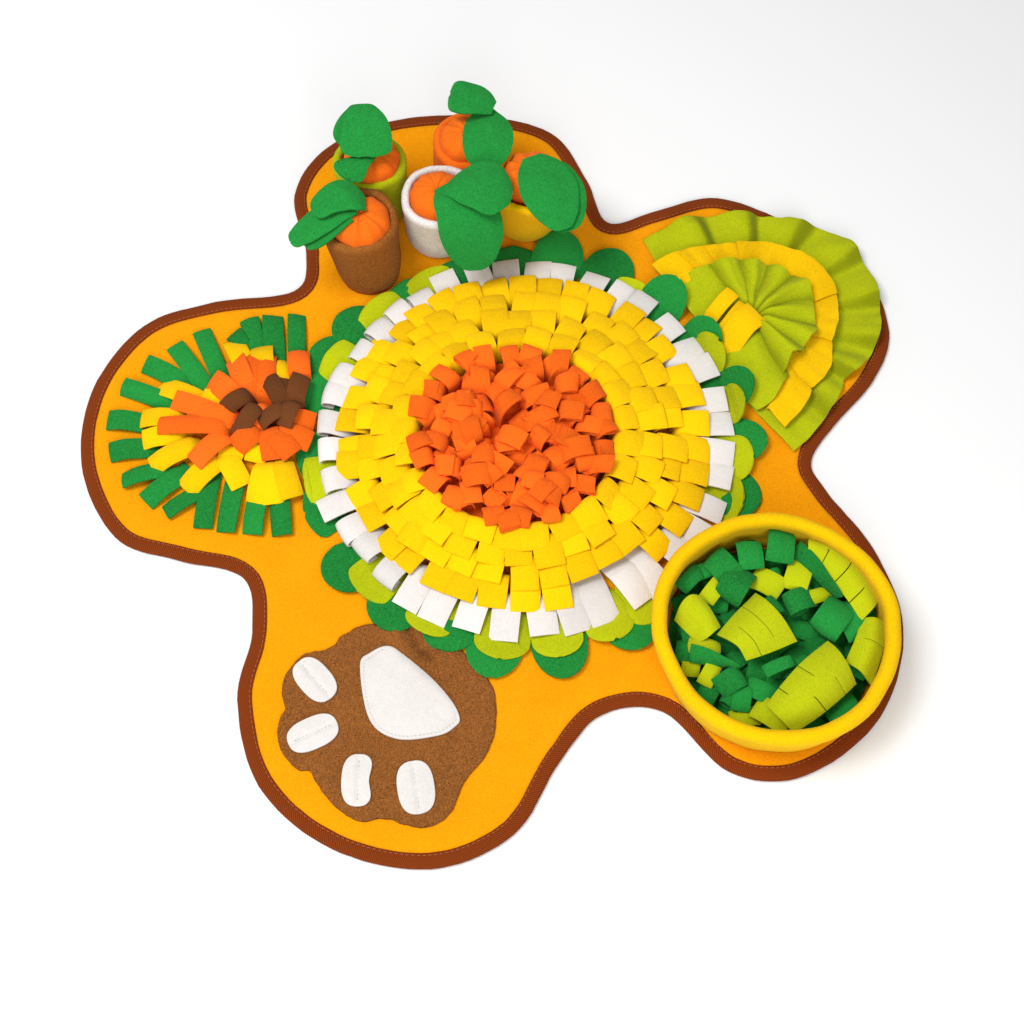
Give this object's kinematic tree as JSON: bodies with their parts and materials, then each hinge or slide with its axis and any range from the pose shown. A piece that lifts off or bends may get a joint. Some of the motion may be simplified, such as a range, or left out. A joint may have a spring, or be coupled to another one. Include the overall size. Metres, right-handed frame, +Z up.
{
  "type": "snuffle mat",
  "caption": "Fleece snuffle mat with round lobes: fringed sunflower, oval flower, ruffle, paw pocket, soft bowl of cut strips, and pots with stuffed carrots.",
  "frame": {"origin": "middle of the mat's underside", "axes": "+Z up from the floor, +Y towards the lobe with the pots, +X towards the ruffle and the bowl"},
  "size_m": [0.7621, 0.7729, 0.134],
  "materials": {
    "fleece_amber": "matte napped fleece",
    "tape_brown": "matte ribbed tape",
    "fleece_green": "matte napped fleece",
    "fleece_lime": "matte napped fleece",
    "fleece_yellow": "matte napped fleece",
    "fleece_orange": "matte napped fleece",
    "fleece_brown": "matte napped fleece",
    "fleece_dark_brown": "matte napped fleece",
    "fleece_white": "matte napped fleece",
    "plush_white": "matte napped fleece"
  },
  "bodies": {
    "root": {"bowl_cut_lime_1": "fleece_lime", "bowl_cut_lime_2": "fleece_lime", "bowl_cut_lime_3": "fleece_lime", "bowl_cut_lime_4": "fleece_lime", "bowl_strips_green": "fleece_green", "bowl_wall": "fleece_yellow", "carrot_brown": "fleece_orange", "carrot_lime": "fleece_orange", "carrot_orange": "fleece_orange", "carrot_white": "fleece_orange", "carrot_yellow": "fleece_orange", "edge_binding": "tape_brown", "flower_centre_orange": "fleece_orange", "leaf_brown_low": "fleece_green", "leaf_brown_top": "fleece_green", "leaf_lime": "fleece_green", "leaf_orange_back": "fleece_green", "leaf_orange_front": "fleece_green", "leaf_ring_dark": "fleece_green", "leaf_ring_lime": "fleece_lime", "leaf_white_low": "fleece_green", "leaf_white_top": "fleece_green", "leaf_yellow_low": "fleece_green", "leaf_yellow_top": "fleece_green", "mat_panel": "fleece_amber", "oval_ring_brown": "fleece_dark_brown", "oval_ring_green": "fleece_green", "oval_ring_orange": "fleece_orange", "oval_ring_yellow": "fleece_yellow", "paw_pad": "fleece_white", "paw_patch": "fleece_brown", "paw_toe_1": "fleece_white", "paw_toe_2": "fleece_white", "paw_toe_3": "fleece_white", "paw_toe_4": "fleece_white", "petal_ring_white": "fleece_white", "petal_ring_yellow_1": "fleece_yellow", "petal_ring_yellow_2": "fleece_yellow", "petal_ring_yellow_3": "fleece_yellow", "petal_ring_yellow_4": "fleece_yellow", "pot_brown": "fleece_brown", "pot_lime": "fleece_lime", "pot_orange": "fleece_orange", "pot_white": "plush_white", "pot_yellow": "fleece_yellow", "ruffle_lime_inner": "fleece_lime", "ruffle_lime_outer": "fleece_lime", "ruffle_tabs_yellow": "fleece_yellow", "ruffle_yellow": "fleece_yellow"}
  },
  "joints": []
}
